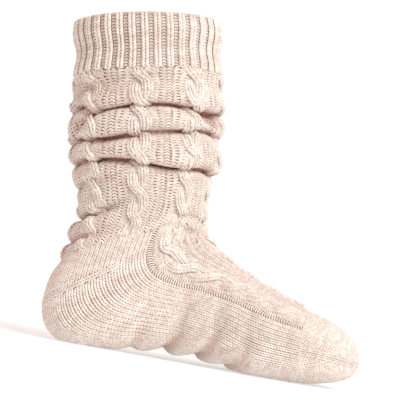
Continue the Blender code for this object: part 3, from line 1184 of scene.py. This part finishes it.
class GroundMesh:
    """The wall under the stitches while it is built: faces that look outward and inward."""

    def __init__(self, surface):
        self.surface = surface
        self.columns = np.arange(0, GRID_COLUMNS, 2) / GRID_COLUMNS
        self.across = surface.gauge.stitches_round / len(self.columns)
        self.down = 1.0 / (surface.row_of_distance * surface.gauge.row_height)
        self.model = bmesh.new()
        self.stitches = self.model.loops.layers.uv.new("stitches")
        self.painted_shade = self.model.verts.layers.float.new("painted_shade")

    def add_ring(self, points, painted_shades):
        """Add a ring of points with the given painted shade."""
        ring = [self.model.verts.new(point) for point in points]
        for vertex, depth in zip(ring, painted_shades):
            vertex[self.painted_shade] = depth
        return ring

    def outer_ring(self, row):
        """Add a ring just under the stitches."""
        level = np.full(len(self.columns), row)
        sink = CUFF_GROUND_SINK if row < self.surface.cuff_end else GROUND_SINK
        points = self.surface.place(level, self.columns, -sink)[0]
        return self.add_ring(points, self.surface.shade(level, self.columns))

    def inner_ring(self, row):
        """Add a ring of the inside, which lies deeper in a crease and takes a share of its painted
        shade.
        """
        level = np.full(len(self.columns), row)
        painted_shades = self.surface.shade(level, self.columns)
        lift = self.surface.inner_lift() - CREASE_SINK * painted_shades
        points = self.surface.inner_points(level, self.columns, lift)
        return self.add_ring(points, INSIDE_SHADE * painted_shades)

    def face(self, corners, outward):
        """Add a face that looks outward or inward, in the material of its side."""
        made = self.model.faces.new(corners if outward else corners[::-1])
        made.material_index = 0 if outward else 1
        return made

    def skin(self, rings, rows, outward):
        """Join rings, top to bottom, by faces with one stitch to each unit of UV."""
        for upper, lower, high, low in zip(rings, rings[1:], rows, rows[1:]):
            for index in range(len(upper)):
                after = (index + 1) % len(upper)
                made = self.face([upper[index], lower[index], lower[after], upper[after]], outward)
                places = ((index, high), (index, low), (index + 1, low), (index + 1, high))
                for loop, place in zip(made.loops, places if outward else places[::-1]):
                    loop[self.stitches].uv = (place[0] * self.across, place[1] * self.down)

    def close(self, last, outward):
        """Close the toe's tip inside the last ring."""
        middle = self.model.verts.new(np.mean([list(vertex.co) for vertex in last], axis=0))
        for index in range(len(last)):
            self.face([last[index], middle, last[(index + 1) % len(last)]], outward)


class SOCK_OT_ground(bpy.types.Operator):
    """Make the wall of the knitting that lies under the stitches, with its inside face"""

    bl_idname = "sock.ground"
    bl_label = "Knit Ground and Inside"

    def execute(self, context):
        surface = sock_surface()
        rows = np.concatenate((
            np.arange(0.0, surface.toe_row, GROUND_STEP),
            np.arange(surface.toe_row, surface.last_row, TOE_GROUND_STEP)))
        ground = GroundMesh(surface)
        outer = [ground.outer_ring(row) for row in rows]
        inner = [ground.inner_ring(row) for row in rows]
        ground.skin(outer, rows, True)
        ground.skin(inner, rows, False)
        ground.close(outer[-1], True)
        ground.close(inner[-1], False)
        ground.skin([inner[0], outer[0]], (-1.0, 0.0), True)
        mesh = bpy.data.meshes.new("knit_ground")
        ground.model.to_mesh(mesh)
        ground.model.free()
        mesh.shade_smooth()
        mesh.materials.append(ground_material())
        mesh.materials.append(inside_material())
        piece = bpy.data.objects.new("knit_ground", mesh)
        context.scene.collection.objects.link(piece)
        finish_piece(piece, "knit_ground")
        return {"FINISHED"}


class SOCK_OT_cuff(bpy.types.Operator):
    """Knit the one-and-one ribbed cuff"""

    bl_idname = "sock.cuff"
    bl_label = "Ribbed Cuff"

    def execute(self, context):
        surface = sock_surface()
        gauge = surface.gauge
        count = surface.row_count(0.0, surface.cuff_end)
        ribs = StitchList("cuff")
        gaps = StitchList("cuff")
        edge = StitchList("edge")
        inside = StitchList("inside")
        for index in range(gauge.stitches_round):
            share = surface.share_of(index)
            rows = surface.even_rows(share, 0.0, surface.cuff_end, count)
            if index % 2 == 0:
                add_wale(ribs, surface, share, rows, gauge.rib_lift, RIB_WIDTH)
                continue
            add_wale(gaps, surface, share, rows, -gauge.rib_gap_depth, RIB_GAP_WIDTH, RIB_GAP_SHADE)
            points, normals = surface.place(rows, share, surface.inner_lift())
            widths = surface.stitch_width(rows) * INSIDE_RIB_WIDTH
            inside.add_column(points, -normals, widths, gauge.yarn_thickness, index + 0.5)
        shares = np.arange(gauge.stitches_round + 1) / gauge.stitches_round
        for lift, row in CUFF_EDGE_ROUNDS:
            points, normals = surface.place(np.full(len(shares), row), shares, lift)
            normals = normals * CUFF_EDGE_OUTWARD
            normals[:, 2] += 1.0
            widths = np.full(len(shares), CUFF_EDGE_WIDTH)
            edge.add_column(points, normals, widths, gauge.yarn_thickness, 0.0, EDGE_SHADE)
        knit_piece("cuff_ribs", ribs, knit_stitch(), RIB_PLUMPNESS)
        knit_piece("cuff_rib_gaps", gaps, purl_stitch())
        knit_piece("cuff_edge", edge, knit_stitch())
        knit_piece("cuff_inside_ribs", inside, knit_stitch())
        return {"FINISHED"}


class SOCK_OT_leg(bpy.types.Operator):
    """Knit the slouched leg: cables between reverse-stocking panels"""

    bl_idname = "sock.leg"
    bl_label = "Leg"

    def execute(self, context):
        surface = sock_surface()
        start = surface.cuff_end
        end = surface.heel_start
        run = CableRun(start, end, surface.row_count(start, end), LEG_CABLE_LEAD)
        panels = StitchList("leg")
        for index in range(surface.gauge.stitches_round):
            rows = surface.even_rows(surface.share_of(index), start, end, run.count)
            middle, under = surface.nearest_cable(LEG_CABLES, index)
            if under:
                add_wale_under_cable(panels, surface, index, rows)
            else:
                add_panel_wale(panels, surface, index, middle, run, rows)
        knit_piece("leg_purl_panels", panels, purl_stitch(), PURL_PLUMPNESS)
        knit_cables("leg", surface, LEG_CABLES, run)
        return {"FINISHED"}


def short_rows(surface, share, start):
    """Rows of the stitches of the short-row heel along one wale, up to its mitre."""
    row_height = surface.gauge.row_height
    rows, lengths = surface.wale_length(share, start, surface.mitre)
    count = int((lengths[-1] - MITRE_ROOM * row_height) / row_height)
    return np.interp(np.arange(count + 1) * row_height, lengths, rows)


class SOCK_OT_heel(bpy.types.Operator):
    """Knit the plain short-row heel, whose rows meet along the mitre"""

    bl_idname = "sock.heel"
    bl_label = "Heel"

    def execute(self, context):
        surface = sock_surface()
        gauge = surface.gauge
        heel = StitchList("heel")
        quarter = gauge.stitches_round // 4
        for index in range(quarter, 3 * quarter):
            share = surface.share_of(index)
            add_wale(
                heel, surface, share, short_rows(surface, share, surface.heel_start - HEEL_OVERLAP), 0.0)
            add_wale(heel, surface, share, short_rows(surface, share, surface.heel_end)[::-1], 0.0)
        # The mitre runs from the left side over the back to the right side
        shares = np.arange(4 * quarter + 1) / (4 * quarter) * 0.5 + 0.25
        points, normals = surface.place(np.full(len(shares), surface.mitre), shares, MITRE_LIFT)
        widths = np.full(len(shares), gauge.row_height * MITRE_WIDTH)
        heel.add_column(points, normals, widths, gauge.yarn_thickness)
        knit_piece("heel_knit", heel, knit_stitch())
        return {"FINISHED"}


class SOCK_OT_foot(bpy.types.Operator):
    """Knit the foot: plain sole and sides, and three cables down the instep"""

    bl_idname = "sock.foot"
    bl_label = "Foot and Instep"

    def execute(self, context):
        surface = sock_surface()
        start = surface.heel_start
        sole_start = surface.heel_end
        end = surface.toe_row
        before = surface.row_count(start, sole_start, SIDE_WALES)
        after = surface.row_count(sole_start, end)
        run = CableRun(start, end, before + after, INSTEP_CABLE_LEAD)
        quarter = surface.gauge.stitches_round // 4
        pattern_edge = INSTEP_CABLES[-1] + CABLE_STITCHES // 2 + EDGE_STITCHES
        sole = StitchList("foot")
        panels = StitchList("instep")
        for index in range(-2 * quarter, 2 * quarter):
            share = surface.share_of(index)
            distance = abs(index + 0.5)
            middle, under = surface.nearest_cable(INSTEP_CABLES, index)
            if under:
                rows = surface.even_rows(share, start, end, run.count)
                add_wale_under_cable(panels, surface, index, rows)
                continue
            rows = surface.even_rows(share, sole_start, end, after)
            if distance < quarter:
                first = surface.even_rows(share, start, sole_start, before)
                rows = np.concatenate((first[:-1], rows))
            if distance > pattern_edge:
                add_wale(sole, surface, share, rows, 0.0)
            elif distance > pattern_edge - 1:
                share, widening = drawn_in(surface, index, middle, run)
                add_wale(
                    panels, surface, share, rows, -LADDER_SINK, LADDER_WIDTH * widening,
                    LADDER_SHADE, LADDER_FILL)
            else:
                add_panel_wale(panels, surface, index, middle, run, rows)
        knit_piece("foot_knit", sole, knit_stitch())
        knit_piece("instep_purl_panels", panels, purl_stitch(), PURL_PLUMPNESS)
        knit_cables("instep", surface, INSTEP_CABLES, run)
        return {"FINISHED"}


def add_toe_wale(toe, surface, rows, shares, lift, width, pitch, wale=0.0):
    """Add a wale of the toe, of stitches of about the given pitch."""
    places = surface.place(rows, shares, lift)
    lengths = path_lengths(places[0])
    wanted = np.linspace(0.0, lengths[-1], max(int(round(lengths[-1] / pitch)), 1) + 1)
    points, normals = [
        np.stack([np.interp(wanted, lengths, axis) for axis in values.T], axis=1) for values in places]
    toe.add_column(
        points, normals, np.full(len(wanted), width), surface.gauge.yarn_thickness, wale)


class SOCK_OT_toe(bpy.types.Operator):
    """Knit the plain toe, narrowed at both sides and linked across its tip"""

    bl_idname = "sock.toe"
    bl_label = "Toe"

    def execute(self, context):
        surface = sock_surface()
        gauge = surface.gauge
        toe = StitchList("foot")
        fine = np.linspace(surface.toe_row - TOE_OVERLAP, surface.last_row, TOE_STEPS)
        girth = np.interp(fine, np.arange(len(surface.girth)), surface.girth)
        width = girth[0] / gauge.stitches_round
        quarter = gauge.stitches_round // 4
        # The top of the toe and its sole, then a seam at each side
        for middle in (0.0, 0.5):
            for index in range(-quarter, quarter):
                offset = (index + 0.5) * width
                inside = np.abs(offset) < girth / 4.0 - TOE_SEAM_ROOM * width
                if inside.sum() < LEAST_TOE_STEPS:
                    continue
                add_toe_wale(
                    toe, surface, fine[inside], middle + offset / girth[inside], 0.0, width,
                    gauge.row_height, index + 0.5 + middle * gauge.stitches_round)
        for side in (0.25, 0.75):
            for step in (-0.5, 0.5):
                aside = step * width * TOE_SEAM_SPACING / girth
                shares = side + np.clip(aside, -TOE_SEAM_REACH, TOE_SEAM_REACH)
                add_toe_wale(
                    toe, surface, fine, shares, TOE_SEAM_LIFT, width, gauge.row_height * TOE_SEAM_PITCH)
        knit_piece("toe_knit", toe, knit_stitch())
        return {"FINISHED"}


def set_floor(scene):
    """Lay a wide pale floor that glows a little."""
    white = bpy.data.materials.new("studio_white")
    white.use_nodes = True
    fill_inputs(white.node_tree, white.node_tree.nodes["Principled BSDF"], {
        "Base Color": (*scene.sock_yarn.floor, 1.0), "Roughness": 0.9, "Specular IOR Level": 0.0,
        "Emission Color": (1.0, 1.0, 1.0, 1.0), "Emission Strength": FLOOR_GLOW})
    bpy.ops.mesh.primitive_circle_add(vertices=96, radius=FLOOR_RADIUS, fill_type="NGON")
    floor = bpy.context.active_object
    floor.name = "studio_floor"
    floor.data.materials.append(white)


def set_lights(scene):
    """Light the sock from all round and by a window, before a white backdrop."""
    world = bpy.data.worlds.new("studio_world")
    world.use_nodes = True
    tree = world.node_tree
    soft = tree.nodes["Background"]
    fill_inputs(tree, soft, {"Color": AMBIENT_COLOUR, "Strength": AMBIENT_STRENGTH})
    seen = add_node(tree, "ShaderNodeBackground", {
        "Color": (1.0, 1.0, 1.0, 1.0), "Strength": BACKDROP_STRENGTH})
    path = add_node(tree, "ShaderNodeLightPath")
    choose = add_node(tree, "ShaderNodeMixShader", {
        "Fac": path.outputs["Is Camera Ray"], 1: soft.outputs["Background"],
        2: seen.outputs["Background"]})
    fill_inputs(tree, tree.nodes["World Output"], {"Surface": choose.outputs["Shader"]})
    scene.world = world
    light = bpy.data.lights.new("key_window", "SUN")
    light.angle = WINDOW_SPREAD
    light.energy = WINDOW_STRENGTH
    light.color = WINDOW_COLOUR
    window = bpy.data.objects.new("key_window", light)
    window.rotation_euler = WINDOW_SIDE.to_track_quat("Z", "Y").to_euler()
    scene.collection.objects.link(window)


def set_camera(scene):
    """Set the camera side-on and low."""
    lens = bpy.data.cameras.new("photo_camera")
    lens.lens = CAMERA_LENS
    lens.sensor_width = 36.0
    camera = bpy.data.objects.new("photo_camera", lens)
    place = Vector((
        CAMERA_AIM.x + CAMERA_DISTANCE * math.sin(CAMERA_AZIMUTH),
        -CAMERA_DISTANCE * math.cos(CAMERA_AZIMUTH), CAMERA_HEIGHT))
    look = (CAMERA_AIM - place).to_track_quat("-Z", "Y").to_matrix().to_4x4()
    roll = Matrix.Rotation(CAMERA_ROLL, 4, "Z")
    camera.matrix_world = Matrix.Translation(place) @ look @ roll
    scene.collection.objects.link(camera)
    scene.camera = camera


class SOCK_OT_stage(bpy.types.Operator):
    """Set the pale floor, the soft lights and the camera"""

    bl_idname = "sock.stage"
    bl_label = "Studio"

    def execute(self, context):
        set_floor(context.scene)
        set_lights(context.scene)
        set_camera(context.scene)
        context.scene.view_settings.view_transform = "Standard"
        return {"FINISHED"}


PIECES = (
    SOCK_OT_ground, SOCK_OT_cuff, SOCK_OT_leg, SOCK_OT_heel, SOCK_OT_foot, SOCK_OT_toe,
    SOCK_OT_stage)


class SOCK_PT_panel(bpy.types.Panel):
    """Sizes of the sock and a button for each of its pieces"""

    bl_label = "Slouch Sock"
    bl_space_type = "VIEW_3D"
    bl_region_type = "UI"
    bl_category = "Sock"

    def draw(self, context):
        for group in (context.scene.sock_shape, context.scene.sock_gauge, context.scene.sock_yarn):
            box = self.layout.box()
            for name in group.__annotations__:
                box.prop(group, name)
        for operator in PIECES:
            self.layout.operator(operator.bl_idname)


CLASSES = (SockShape, KnitGauge, YarnColours) + PIECES + (SOCK_PT_panel,)


def register():
    """Register the sock's classes and its settings on the scene."""
    for item in CLASSES:
        bpy.utils.register_class(item)
    bpy.types.Scene.sock_shape = PointerProperty(type=SockShape)
    bpy.types.Scene.sock_gauge = PointerProperty(type=KnitGauge)
    bpy.types.Scene.sock_yarn = PointerProperty(type=YarnColours)


def unregister():
    """Remove the settings and the classes again."""
    del bpy.types.Scene.sock_yarn
    del bpy.types.Scene.sock_gauge
    del bpy.types.Scene.sock_shape
    for item in reversed(CLASSES):
        bpy.utils.unregister_class(item)


def main():
    """Knit the sock and set the studio."""
    register()
    bpy.ops.sock.ground()
    bpy.ops.sock.cuff()
    bpy.ops.sock.leg()
    bpy.ops.sock.heel()
    bpy.ops.sock.foot()
    bpy.ops.sock.toe()
    bpy.ops.sock.stage()


if __name__ == "__main__":
    main()
